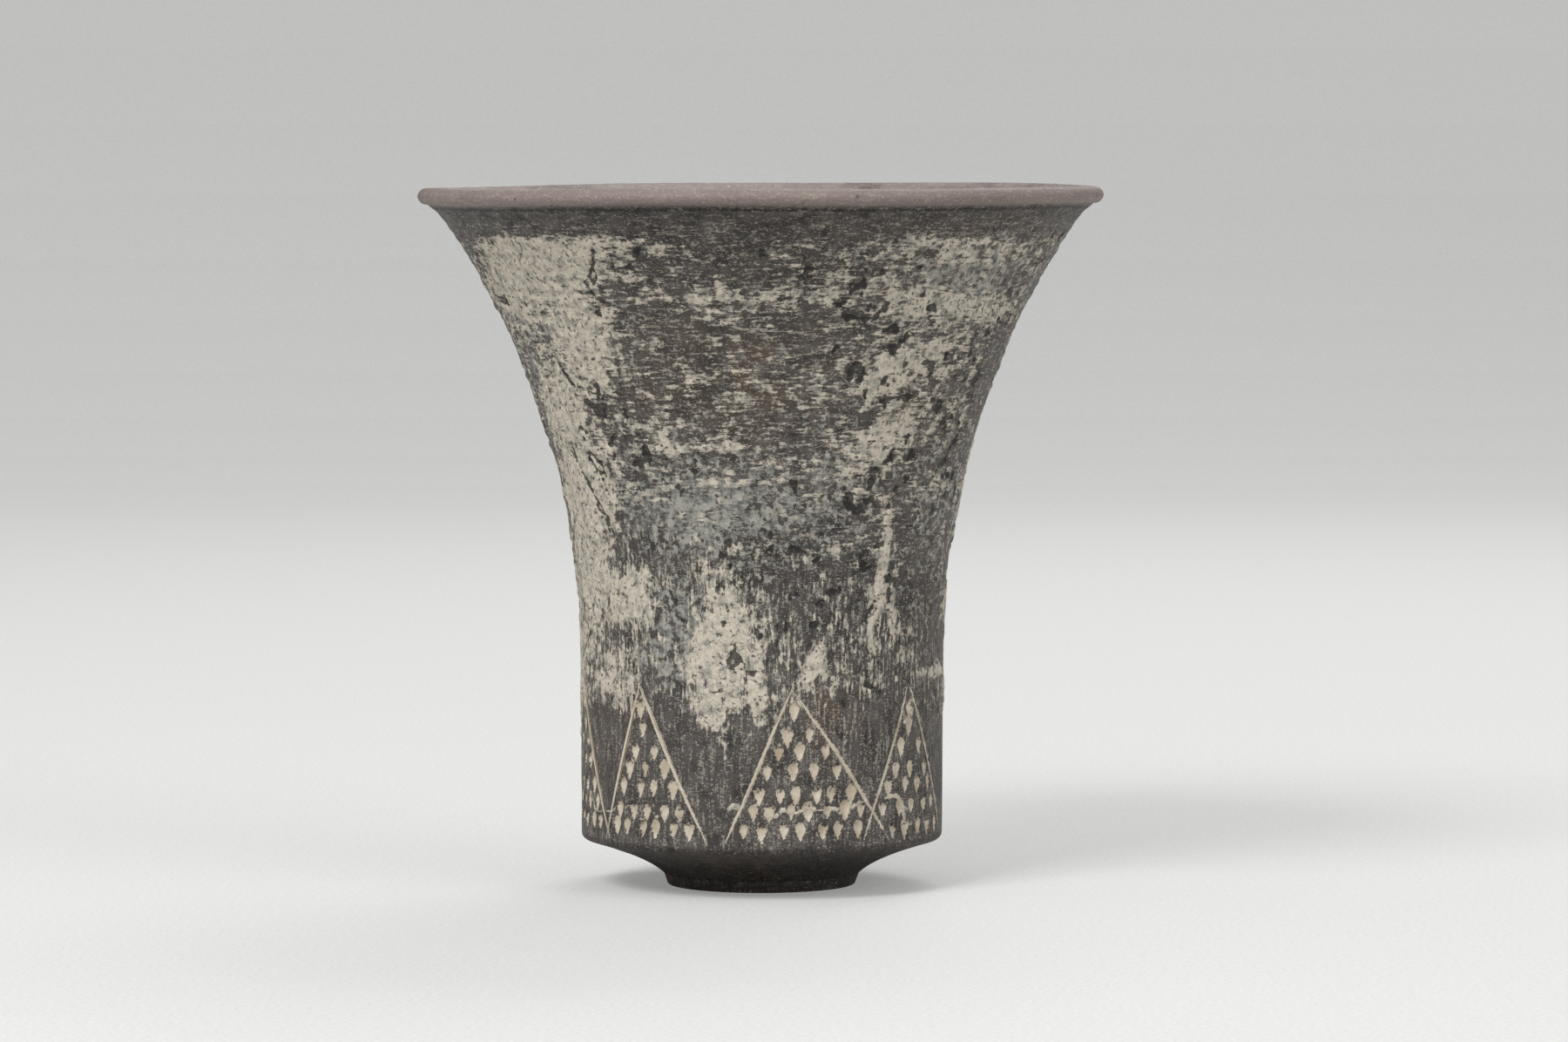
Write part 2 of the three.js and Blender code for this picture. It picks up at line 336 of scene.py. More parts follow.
def stamps_of(index):
    """The places of one triangle's stamps, with the size and lift that the hand gave each."""
    count = len(TRIANGLES)
    here = TRIANGLES[index]
    before = [a - (0 if index else 360) for a in TRIANGLES[index - 1]]
    after = [a + (0 if index + 1 < count else 360) for a in TRIANGLES[(index + 1) % count]]
    inset = STAMP_INSET * DEGREES_PER_METRE
    rows = int((POINT_HEIGHT - EDGE_HEIGHT - STAMP_FIRST_ROW) / STAMP_RISE)
    for row in range(rows):
        height = EDGE_HEIGHT + STAMP_FIRST_ROW + row * STAMP_RISE
        start = max(side_at(here[1], here[0], height), side_at(before[1], before[2], height)) + inset
        end = min(side_at(here[1], here[2], height), side_at(after[1], after[0], height)) - inset
        n = max(1, 1 + int((end - start) / (STAMP_PITCH * DEGREES_PER_METRE)))
        for i in range(n):
            angle = start + (end - start) * i / (n - 1) if n > 1 else (start + end) / 2
            # Sines of a number that differs for each stamp stand for the unevenness of the hand.
            number = 7 * row + 3 * i + here[1]
            size = 1 + STAMP_VARIATION * math.sin(5.3 * number)
            drift = 0.42 * MM * math.sin(13.7 * number) * DEGREES_PER_METRE
            lift = (0.08 * STAMP_PITCH + 0.25 * MM) * math.sin(2.1 * number)
            yield angle + drift, height + lift, size * (1 + 0.12 * math.sin(3.3 * number)), number


STAMPS = [stamp for index in range(len(TRIANGLES)) for stamp in stamps_of(index)]


def wrapped(degrees):
    """The same angle from -180 to 180."""
    return (degrees + 180) % 360 - 180


def stamp_shape(angle, height, stamp):
    """How deep a stamp is at each point, from 0 to 1. Along a stamp, its point is at -0.6, its widest
    place at 0.12 and its round end at 0.56."""
    at, up, size, _ = stamp
    across = wrapped(angle - at) / DEGREES_PER_METRE / (STAMP_WIDTH * size)
    along = (height - up) / (STAMP_LENGTH * size)
    swell = np.where(along > 0.12, np.sqrt(np.clip(1 - ((along - 0.12) / 0.42) ** 2, 0, 1)),
                     np.clip((along + 0.6) / 0.72, 0, 1) ** 0.75)
    share = np.clip(1 - (np.abs(across) / np.maximum(0.52 * swell, 1e-3)) ** 2, 0, 1)
    deep = share * np.where(along > 0.12, np.sqrt(np.clip(1 - ((along - 0.12) / 0.46) ** 2, 0, 1)),
                            0.35 + 0.65 * np.clip((along + 0.6) / 0.72, 0, 1))
    return np.where((along > -0.6) & (along < 0.56), deep, 0)


def decoration(angle, height):
    """How deep the lines and stamps cut at each angle and height, and how much paste is in them. Each stamp's
    paste thins towards its top, so that the darker surface showing there is painted shade.
    """
    depth = np.zeros(len(angle))
    paste = np.zeros(len(angle))
    band = (height > EDGE_HEIGHT - BAND_MARGIN) & (height < BAND_TOP + BAND_MARGIN)
    a, h = angle[band], height[band]
    cut = np.zeros(len(a))
    fill = np.zeros(len(a))
    for number, (start, end) in enumerate(triangle_lines()):
        run = np.array([(end[0] - start[0]) / DEGREES_PER_METRE, end[1] - start[1]])
        length = np.hypot(*run)
        run = run / length
        x = wrapped(a - start[0]) / DEGREES_PER_METRE
        z = h - start[1]
        along = x * run[0] + z * run[1]
        wobble = LINE_WOBBLE * np.sin(along / LINE_WOBBLE_LENGTH + number)
        across = np.abs(-x * run[1] + z * run[0] + wobble)
        pressed = np.sin(np.pi * np.clip((along + STROKE_OVERRUN) / (length + STROKE_OVERRUN), 0, 1)) ** 0.5
        half = STROKE_WIDTH / 2 * (0.35 + 0.65 * pressed)
        inside_run = (along > -STROKE_OVERRUN) & (along < length)
        groove = np.where(inside_run, np.clip(1 - across / half, 0, 1) * pressed, 0)
        cut = np.maximum(cut, groove * STROKE_DEPTH * 0.55)
        fill = np.maximum(fill, smooth(0.05, 0.4, groove))
    for stamp in STAMPS:
        at, up, _, number = stamp
        near = (np.abs(wrapped(a - at)) < STAMP_HALF_TURN) & (np.abs(h - up) < STAMP_HALF_HEIGHT)
        if not near.any():
            continue
        deep = stamp_shape(a[near], h[near], stamp)
        kept = 0.35 + 0.65 * (0.5 + 0.5 * math.sin(9.1 * number))
        cut[near] = np.maximum(cut[near], deep * STAMP_DEPTH * (1.05 - 0.55 * kept))
        # Paste thins out towards the top of each stamp, so that the darker surface there shows as painted
        # shade under the stamp's steep upper wall.
        paste_below_painted_shade = 1 - (0.95 - 0.75 * kept) * smooth(0.0, 1.2 * MM, h[near] - up - 0.1 * MM)
        fill[near] = np.maximum(fill[near], smooth(0.04, 0.3, deep) * paste_below_painted_shade * (0.72 + 0.28 * kept))
    depth[band] = cut
    paste[band] = fill
    return depth, paste


def hand_made(points, angle):
    """Moves points as the potter's hand left the pot: a leaning axis, a rim that isn't level or round."""
    height = points[:, 2]
    up = np.clip(height / RIM_HEIGHT, 0, 1)
    turn = np.radians(angle)
    shift = (-1.0 * up + 1.15 * np.sin(np.pi * up * 1.1)) * MM * 0.55
    out = 1 + up * (0.003 * np.cos(2 * turn + 0.6) + 0.002 * np.cos(3 * turn - 0.8))
    points[:, 0] = points[:, 0] * out + shift * (1 - up)
    points[:, 1] = points[:, 1] * out
    near_rim = smooth(0.86, 1.0, up)
    dip = 0.42 * np.cos(turn - 2.3) + 0.2 * np.cos(2 * turn + 0.4) + 0.12 * np.cos(5 * turn + 1.2) - 0.5
    points[:, 2] += near_rim * dip * MM
    return points


# Each layer of the finish, and how strongly it is scattered over the sides that no patch is placed on.
LAYERS = (("crust", 0.62), ("film", 0.5), ("brown", 0.9), ("dark", 0.8))


def relief(points, radius, angle, height, inner):
    """How far the surface stands out or in, and its colour layers, at each point."""
    turn = wrapped(angle)
    lumps = field(points, LUMP_SIZE, 5, 2)
    fine = field(points, GRIT_SIZE, 4, 5)
    broad = field(points, SWELL_SIZE, 4, 9)
    seen = np.exp(-((turn / 84) ** 8)) * ~inner
    body = smooth(EDGE_HEIGHT + 22 * MM, EDGE_HEIGHT + 34 * MM, height + (lumps - 0.5) * 14 * MM)
    turned_band = smooth(RIM_HEIGHT - 12 * MM, RIM_HEIGHT - 8 * MM, height)
    body = body * (1 - 0.9 * turned_band)
    layers = {}
    for number, (layer, share) in enumerate(LAYERS):
        scattered = smooth(0.45, 0.8, field(points, 0.034, 4, 20 + 4 * number)) * (1 - 0.85 * seen) * share
        layers[layer] = np.maximum(patch(layer, turn, height) * ~inner, scattered)
    worn = 0.27 * body + 0.2 * (broad - 0.5) + 0.2 * (lumps - 0.5)
    layers["crust"] = (worn + layers["crust"] * (0.5 + 0.5 * body)) * (1 - 0.75 * turned_band) + 0.04
    layers["film"] = (0.18 + layers["film"]) * (0.2 + 0.8 * body)
    layers["upright"] = 1 - smooth(66 * MM, 92 * MM, height + turn * 0.16 * MM)
    standing = smooth(0.42, 0.7, layers["crust"] + 0.5 * (lumps - 0.5) + 0.3 * (fine - 0.5))
    broken = smooth(0.62, 0.76, field(points, 0.0046, 3, 41)) * smooth(0.4, 0.62, broad)
    broken = broken * (0.25 + 0.75 * body)
    scars = scarred(angle, height, points) * ~inner
    layers["pits"] = np.maximum(broken, scars)
    bead = height - (RIM_HEIGHT - LIP_THICKNESS)
    layers["rubbed"] = smooth(-0.5 * MM, 0.3 * MM, bead)
    layers["rubbed"] = layers["rubbed"] * smooth(RIM_RADIUS - 9 * MM, RIM_RADIUS - 5 * MM, radius)
    # The groove under the bead is real, and it joins the pits, so it is painted near black as painted shade
    # under the overhanging bead.
    groove = np.exp(-(((bead + 0.9 * MM) / (0.5 * MM)) ** 2)) * ~inner
    layers["pits"] = np.maximum(layers["pits"], 0.75 * groove)
    out = (lumps - 0.5) * 0.5 * MM * body + (fine - 0.5) * 0.16 * MM * (0.35 + 0.65 * body)
    out += standing * (0.1 + 0.3 * fine) * MM - broken * 0.35 * MM - scars * 0.45 * MM
    return out, layers


def crust_trails(angle, height, points):
    """Thin raised lines of lime that wander over the band: a tide line, and short trails near the left."""
    wander = (field(points, 0.012, 3, 51) - 0.5) * 9 * MM
    tide = np.abs(height - (20.4 * MM + wander))
    stretch = smooth(-22, -8, wrapped(angle)) * (1 - smooth(48, 60, wrapped(angle)))
    left = smooth(-80, -66, wrapped(angle)) * (1 - smooth(-36, -30, wrapped(angle)))
    behind = smooth(0.5, 0.62, field(points, 0.03, 2, 57)) * smooth(95, 110, np.abs(wrapped(angle)))
    line = (1 - smooth(0.25 * MM, 0.75 * MM, tide)) * np.clip(stretch + 0.7 * left + behind, 0, 1)
    return line * smooth(0.3, 0.5, field(points, 0.004, 3, 60))


# Materials. Each is a stack of coloured layers that the mesh's own masks and fine noise lay over each
# other.


def node(tree, kind, **values):
    """A new shader node with its settings."""
    made = tree.nodes.new(kind)
    for name, value in values.items():
        setattr(made, name, value)
    return made


def mixed(tree, factor, low, high):
    """A colour from low to high by a factor. Each is a socket or a plain value."""
    mix = node(tree, "ShaderNodeMix", data_type="RGBA")
    for socket, value in ((mix.inputs[0], factor), (mix.inputs[6], low), (mix.inputs[7], high)):
        if isinstance(value, bpy.types.NodeSocket):
            tree.links.new(value, socket)
        elif isinstance(value, float):
            socket.default_value = value
        else:
            socket.default_value = (*value, 1)
    return mix.outputs[2]


def grain(tree, scale, detail, low, high, squeeze=(1, 1, 1)):
    """Fine noise in the pot's own space, cut to a mask between low and high."""
    coordinates = node(tree, "ShaderNodeTexCoord")
    mapping = node(tree, "ShaderNodeMapping")
    mapping.inputs["Scale"].default_value = squeeze
    texture = node(tree, "ShaderNodeTexNoise")
    texture.inputs["Scale"].default_value = scale
    texture.inputs["Detail"].default_value = detail
    texture.inputs["Roughness"].default_value = 0.65
    span = node(tree, "ShaderNodeMapRange")
    span.inputs["From Min"].default_value = low
    span.inputs["From Max"].default_value = high
    tree.links.new(coordinates.outputs["Object"], mapping.inputs["Vector"])
    tree.links.new(mapping.outputs["Vector"], texture.inputs["Vector"])
    tree.links.new(texture.outputs["Fac"], span.inputs["Value"])
    return span.outputs["Result"]


def mask(tree, name):
    """One of the layers that a piece's mesh carries."""
    return node(tree, "ShaderNodeAttribute", attribute_name=name).outputs["Fac"]


def sum_of(tree, operation, first, second, clamp=True):
    """Two sockets or values joined by a sum, product or the like."""
    made = node(tree, "ShaderNodeMath", operation=operation, use_clamp=clamp)
    for socket, value in zip(made.inputs, (first, second)):
        if isinstance(value, bpy.types.NodeSocket):
            tree.links.new(value, socket)
        else:
            socket.default_value = value
    return made.outputs[0]


def ramp(tree, value, low, high):
    """A value stretched so that low is 0 and high is 1, and cut off there."""
    span = node(tree, "ShaderNodeMapRange")
    span.inputs["From Min"].default_value = low
    span.inputs["From Max"].default_value = high
    tree.links.new(value, span.inputs["Value"])
    return span.outputs["Result"]


def linear(red, green, blue):
    """A colour that is seen as these shares of 255."""
    return tuple(((v / 255 + 0.055) / 1.055) ** 2.4 for v in (red, green, blue))


BROWN_STAIN = linear(98, 76, 60)
SOOT = linear(38, 36, 35)
THIN_FILM = linear(112, 116, 113)
THICK_FILM = linear(186, 184, 173)
WIPED_LIME = linear(176, 169, 157)
BRIGHT_LIME = linear(226, 217, 201)
GREY_LIME = linear(132, 135, 130)
HOLES_IN_LIME = linear(52, 47, 43)
PALE_FLECKS = linear(205, 197, 183)
PIT_SHADE = linear(26, 24, 23)
STAINED_PASTE = linear(176, 160, 138)
CLEAN_PASTE = linear(222, 212, 194)
LINE_PASTE = linear(214, 204, 186)
BARE_ROUGHNESS = 0.5
LIME_ROUGHNESS = 0.92
GRAIN_DEPTH = 0.0004


def laid(tree, colour, share, strength, over):
    """A colour with another laid over it by a share, and no further than a strength."""
    return mixed(tree, sum_of(tree, "MULTIPLY", share, strength), colour, over)


def holding(tree, layer, noise, low, high):
    """Where a layer holds on: its mask and the noise together pass from low to high."""
    return ramp(tree, sum_of(tree, "ADD", layer, noise, clamp=False), low, high)


def clay_material(name, clay, shade, rim, crust_colour, speckle):
    """Fired clay under brown stain, soot, a blue-grey film, lime crust and paste. A mask says how much of a
    layer there is, and noise decides where it holds on."""
    material = bpy.data.materials.new(name)
    material.use_nodes = True
    tree = material.node_tree
    shader = tree.nodes["Principled BSDF"]
    fine = grain(tree, 1500, 6, 0.36, 0.64)
    mottle = grain(tree, 230, 9, 0.34, 0.66)
    # The marks of smoothing run level on the flare and upright on the straight wall.
    level = grain(tree, 300, 9, 0.33, 0.67, (1, 1, 5))
    standing = grain(tree, 300, 9, 0.33, 0.67, (5, 5, 0.7))
    streak = mixed(tree, mask(tree, "upright"), level, standing)
    hold = mixed(tree, 0.42, grain(tree, 360, 11, 0.3, 0.7), streak)
    colour = mixed(tree, mottle, shade, clay)
    colour = laid(tree, colour, mask(tree, "rubbed"), 0.85, rim)
    brown = sum_of(tree, "MULTIPLY", mask(tree, "brown"), grain(tree, 190, 8, 0.38, 0.6))
    colour = laid(tree, colour, brown, 0.8, BROWN_STAIN)
    soot = sum_of(tree, "MULTIPLY", mask(tree, "dark"), grain(tree, 210, 9, 0.3, 0.52))
    colour = laid(tree, colour, soot, 0.8, SOOT)
    film = holding(tree, mask(tree, "film"), grain(tree, 560, 11, 0.32, 0.68), 0.92, 1.1)
    film_colour = mixed(tree, grain(tree, 480, 8, 0.42, 0.58), THIN_FILM, THICK_FILM)
    colour = laid(tree, colour, film, 0.78, film_colour)
    wiped = holding(tree, grain(tree, 1300, 5, 0.34, 0.66, (1, 1, 2.4)), streak, 1.2, 1.36)
    colour = laid(tree, colour, wiped, speckle, WIPED_LIME)
    held = holding(tree, mask(tree, "crust"), hold, 0.92, 1.04)
    lime = mixed(tree, fine, crust_colour, BRIGHT_LIME)
    lime = laid(tree, lime, grain(tree, 420, 8, 0.49, 0.62), 0.7, GREY_LIME)
    colour = laid(tree, colour, held, 0.94, lime)
    holes = sum_of(tree, "MULTIPLY", grain(tree, 900, 8, 0.56, 0.62), held)
    colour = laid(tree, colour, holes, 0.85, HOLES_IN_LIME)
    colour = laid(tree, colour, grain(tree, 2100, 3, 0.63, 0.69), 0.7, PALE_FLECKS)
    pits = holding(tree, mask(tree, "pits"), grain(tree, 800, 6, 0.3, 0.7), 0.95, 1.15)
    colour = laid(tree, colour, pits, 0.85, PIT_SHADE)
    filled = holding(tree, mask(tree, "paste"), grain(tree, 1100, 6, 0.3, 0.7), 0.8, 1.05)
    colour = mixed(tree, filled, colour, mixed(tree, mottle, STAINED_PASTE, CLEAN_PASTE))
    tree.links.new(colour, shader.inputs["Base Color"])
    rough = node(tree, "ShaderNodeMapRange")
    rough.inputs["To Min"].default_value = BARE_ROUGHNESS
    rough.inputs["To Max"].default_value = LIME_ROUGHNESS
    tree.links.new(sum_of(tree, "ADD", held, filled), rough.inputs["Value"])
    tree.links.new(rough.outputs["Result"], shader.inputs["Roughness"])
    shader.inputs["Specular IOR Level"].default_value = 0.4
    bump = node(tree, "ShaderNodeBump")
    bump.inputs["Strength"].default_value = 0.7
    bump.inputs["Distance"].default_value = GRAIN_DEPTH
    height = sum_of(tree, "ADD", sum_of(tree, "MULTIPLY", fine, 0.3), sum_of(tree, "MULTIPLY", held, 0.35))
    height = sum_of(tree, "SUBTRACT", sum_of(tree, "ADD", height, 0.3), sum_of(tree, "MULTIPLY", holes, 0.3))
    tree.links.new(height, bump.inputs["Height"])
    tree.links.new(bump.outputs["Normal"], shader.inputs["Normal"])
    return material


def plain_material(name, colour, roughness):
    """A dull even surface with a slight mottle, for the stage and the paste."""
    material = bpy.data.materials.new(name)
    material.use_nodes = True
    tree = material.node_tree
    shader = tree.nodes["Principled BSDF"]
    darker = tuple(channel * 0.82 for channel in colour)
    mottled = mixed(tree, grain(tree, 900, 6, 0.35, 0.65), darker, colour)
    tree.links.new(mottled, shader.inputs["Base Color"])
    shader.inputs["Roughness"].default_value = roughness
    return material


# Modelling. A piece is a section of the pot, spun round and then uneven as the hand and the ground left it.


def deselect():
    """Leaves edit mode, with nothing selected."""
    if bpy.context.object and bpy.context.object.mode == "EDIT":
        bpy.ops.object.mode_set(mode="OBJECT")
    bpy.ops.object.select_all(action="DESELECT")


def select_edges(piece, wanted):
    """Selects, in edit mode, only the edges whose two ends are both wanted."""
    bpy.ops.mesh.select_mode(type="EDGE")
    bpy.ops.mesh.select_all(action="DESELECT")
    mesh = bmesh.from_edit_mesh(piece.data)
    for edge in mesh.edges:
        if all(wanted(v) for v in edge.verts):
            edge.select_set(True)
    bmesh.update_edit_mesh(piece.data)


def spun(name, section):
    """A closed section spun round the pot's axis into a closed mesh, its faces outwards."""
    deselect()
    bpy.ops.mesh.primitive_plane_add(size=MM, location=(0, 0, 0))
    piece = bpy.context.object
    piece.name = piece.data.name = name
    outline = bmesh.new()
    points = [outline.verts.new((radius, 0, height)) for radius, height in section]
    for a, b in zip(points, points[1:]):
        outline.edges.new((a, b))
    if section[0][0] > TINY:
        outline.edges.new((points[-1], points[0]))
    outline.to_mesh(piece.data)
    outline.free()
    screw = piece.modifiers.new("turn", "SCREW")
    screw.steps = screw.render_steps = COLUMNS
    screw.use_merge_vertices = True
    screw.merge_threshold = TINY
    bpy.ops.object.modifier_apply(modifier=screw.name)
    bpy.ops.object.mode_set(mode="EDIT")
    bpy.ops.mesh.select_all(action="SELECT")
    bpy.ops.mesh.remove_doubles(threshold=TINY)
    bpy.ops.mesh.normals_make_consistent(inside=False)
    bpy.ops.object.mode_set(mode="OBJECT")
    bpy.ops.object.shade_smooth()
    return piece


def weathered(piece, faces_in):
    """Gives a spun piece its relief, hand-made form and masks. Points on a joint move as the neighbour's
    do, because both follow the same fields."""
    mesh = piece.data
    count = len(mesh.vertices)
    flat = np.empty(count * 3)
    mesh.vertices.foreach_get("co", flat)
    points = flat.reshape(-1, 3).astype(float)
    radius = np.hypot(points[:, 0], points[:, 1])
    height = points[:, 2].copy()
    angle = np.degrees(np.arctan2(points[:, 0], -points[:, 1]))
    inner = faces_in(radius, height)
    lift_clay, layers = relief(points, radius, angle, height, inner)
    cut, paste = decoration(angle, height)
    trails = crust_trails(angle, height, points)
    skin = ~inner
    outer_crust = np.maximum(layers["crust"] * (1 - 0.7 * paste), trails)
    layers["crust"] = np.where(skin, outer_crust, layers["crust"])
    layers["paste"] = np.where(skin, paste, 0)
    turning = TURNING_DEPTH * np.sin(height / TURNING_PITCH + 3 * field(points, 0.05, 2, 70))
    turning = turning * smooth(96 * MM, 120 * MM, height)
    lift = np.where(skin, lift_clay + turning + trails * 0.3 * MM - cut, lift_clay)
    lift = np.where(buried(radius, height), 0, lift)
    lift = np.clip(lift, DEEPEST, PROUDEST)
    slope = lean(height)
    flat_part = (height < EDGE_HEIGHT + 1 * MM) & (radius < DRUM_RADIUS - 2 * MM)
    radial = np.where(flat_part, 0.25, np.cos(slope))
    upright = np.where(flat_part, np.where(inner, 0.97, -0.97), -np.sin(slope))
    sign = np.where(inner & ~flat_part, -1, 1)
    lift = np.where(height < RESTING_HEIGHT, 0, lift)
    unit = points[:, :2] / np.maximum(radius, TINY)[:, None]
    points[:, 0] += unit[:, 0] * lift * radial * sign
    points[:, 1] += unit[:, 1] * lift * radial * sign
    points[:, 2] += lift * upright * sign
    points = hand_made(points, angle)
    mesh.vertices.foreach_set("co", points.ravel())
    for name, values in layers.items():
        attribute = mesh.attributes.new(name, "FLOAT", "POINT")
        attribute.data.foreach_set("value", np.clip(values, 0, 1).astype(np.float32))
    mesh.update()
    return piece


def dressed(piece, cad_node, material):
    """Gives a piece its material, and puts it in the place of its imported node."""
    piece.data.materials.clear()
    piece.data.materials.append(material)
    deselect()
    piece.select_set(True)
    bpy.context.view_layer.objects.active = piece
    bpy.ops.object.shade_smooth_by_angle(angle=CREASE)
    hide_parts(cad_node)
    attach(piece, "root")


def buried(radius, height):
    """Points inside the clay, on the joints between two pieces, away from both faces."""
    foot_joint = (np.abs(height - FOOT_HEIGHT) < TINY) & (radius < FOOT_RADIUS - 0.5 * MM)
    out = outside(height)[0]
    thick = WALL / np.cos(lean(height))
    wall_joint = (radius > out - thick + 0.45 * MM) & (radius < out - 0.35 * MM)
    within = (height > EDGE_HEIGHT - 1 * MM) & (height < LIP_FOOT + 2.6 * MM)
    return foot_joint | (wall_joint & within)


def wall_faces_in(radius, height):
    """Whether points lie nearer to the wall's inside than to its outside."""
    level = np.minimum(height, LIP_FOOT)
    return radius < outside(level)[0] - WALL / np.cos(lean(level)) / 2


def bowl_faces_in(radius, height):
    """Whether points lie on the floor inside the pot, or on the bowl's rise to the wall."""
    over_floor = height > FLOOR_HEIGHT * 0.97
    within_wall = radius < inside(EDGE_HEIGHT)[0] + 0.1 * MM
    over_underside = height > EDGE_HEIGHT - 3.4 * MM - (DRUM_RADIUS - radius) * 0.2
    return over_floor & within_wall & over_underside


def all_outside(radius, height):
    """The foot has no inside."""
    return np.zeros(len(radius), bool)


def strip_section(low, high, upper_lap):
    """A strip of wall between two sloping joints, outside face first."""
    rising = spaced(wall_line(outside, low, high, OUTER_SPANS), OUTER_STEP)
    falling = spaced(wall_line(inside, high + upper_lap, low + LAP, INNER_SPANS), INNER_STEP)
    across = spaced([rising[-1], falling[0]], INNER_STEP)[1:-1]
    back = spaced([falling[-1], rising[0]], INNER_STEP)[1:-1]
    return rising + across + falling + back


def lip_section():
    """The rolled lip: out from the wall, round the bead, and back inside."""
    bead = LIP_THICKNESS / 2
    centre = (RIM_RADIUS - bead, RIM_HEIGHT - bead)
    start, sweep, steps = -100, 190, 22
    turns = [math.radians(start + sweep * i / steps) for i in range(steps + 1)]
    round_part = [(centre[0] + bead * math.cos(t), centre[1] + bead * math.sin(t)) for t in turns]
    tilt = lean(LIP_FOOT)
    root = outside(LIP_FOOT)
    inner = inside(LIP_FOOT)
    under = (root[0] + LIP_GROOVE * math.sin(tilt), root[1] + LIP_GROOVE * math.cos(tilt))
    over = (inner[0] + LIP_THICKNESS * math.sin(tilt), inner[1] + LIP_THICKNESS * math.cos(tilt))
    line = [root] + bend(root, under, round_part[0], 14) + round_part[1:]
    line += bend(round_part[-1], over, inner, 14)
    back = spaced([inner, root], INNER_STEP)[1:-1]
    return line + back


def bowl_section():
    """The shallow bowl, from the foot out to the sharp edge and back over the floor. A curve's turning
    point is a share of the way between its ends."""
    foot = (FOOT_RADIUS, FOOT_HEIGHT)
    edge_foot = (DRUM_RADIUS - EDGE_ROUNDING * 0.65, EDGE_HEIGHT - EDGE_ROUNDING)
    edge_turn = (DRUM_RADIUS, EDGE_HEIGHT - EDGE_ROUNDING * 0.78)
    hollow = (foot[0] + (edge_foot[0] - foot[0]) * 0.23, foot[1] + (edge_foot[1] - foot[1]) * 0.5)
    joint = inside(EDGE_HEIGHT + LAP)
    floor_turn = (joint[0] * 0.9, FLOOR_HEIGHT * 1.05)
    under = spaced([(0, FOOT_HEIGHT), foot], INNER_STEP)
    line = under + spaced([foot] + bend(foot, hollow, edge_foot), OUTER_STEP)[1:]
    line += bend(edge_foot, edge_turn, outside(EDGE_HEIGHT), 6)
    line += spaced([outside(EDGE_HEIGHT), joint], INNER_STEP)[1:]
    line += spaced([joint] + bend(joint, floor_turn, (0, FLOOR_HEIGHT)), INNER_STEP)[1:]
    return line


def foot_section():
    """The disc foot, with a shallow hollow under it."""
    centre = (FOOT_RADIUS - FOOT_TAPER - FOOT_ROUNDING, FOOT_ROUNDING)
    steps = 5
    turns = [math.radians(-90 + 90 * i / steps) for i in range(steps + 1)]
    edge = [(centre[0] + FOOT_ROUNDING * math.cos(t), centre[1] + FOOT_ROUNDING * math.sin(t)) for t in turns]
    middle = (0, DISH_DEPTH)
    line = [middle] + bend(middle, (DISH_RADIUS * 0.6, DISH_DEPTH), (DISH_RADIUS, 0), 12) + edge
    line += spaced([edge[-1], (FOOT_RADIUS, FOOT_HEIGHT)], OUTER_STEP)[1:]
    line += spaced([(FOOT_RADIUS, FOOT_HEIGHT), (0, FOOT_HEIGHT)], INNER_STEP)[1:]
    return line


def colour_property(name, description, default):
    """A colour that the panel shows, and its default."""
    return bpy.props.FloatVectorProperty(
        name=name, description=description, subtype="COLOR", size=3, default=default)


class BeakerFinish(bpy.types.PropertyGroup):
    clay: colour_property("Clay", "The bare clay of the wall", linear(94, 89, 85))
    shade: colour_property("Dark clay", "The darker mottles of the clay", linear(42, 39, 38))
    rim: colour_property("Rim", "The worn clay of the lip", linear(146, 131, 126))
    crust: colour_property("Crust", "The lime crust", linear(197, 187, 170))
    base: colour_property("Base", "The clay of the bowl and foot", linear(74, 68, 64))


class BeakerStage(bpy.types.PropertyGroup):
    distance: bpy.props.FloatProperty(
        name="Camera distance", description="From the pot's axis to the camera",
        subtype="DISTANCE", default=1.49)
    eye: bpy.props.FloatProperty(
        name="Camera height", description="Over the table", subtype="DISTANCE", default=0.1685)
    lens: bpy.props.FloatProperty(
        name="Lens", description="Focal length in millimetres", unit="CAMERA", default=149.8)
    floor: colour_property("Floor", "The floor and backdrop", linear(206, 206, 204))


# The strips of wall from the bottom up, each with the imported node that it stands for.
STRIPS = (
    ("stamped_wall", "decorated_wall"),
    ("waist_strip", "waist_wall"),
    ("flaring_strip", "flaring_wall"),
    ("mouth_strip", "mouth_wall"),
)

# How strongly wiped lime speckles the bare clay.
WALL_SPECKLE = 0.6
RIM_SPECKLE = 0.4
BASE_SPECKLE = 0.2


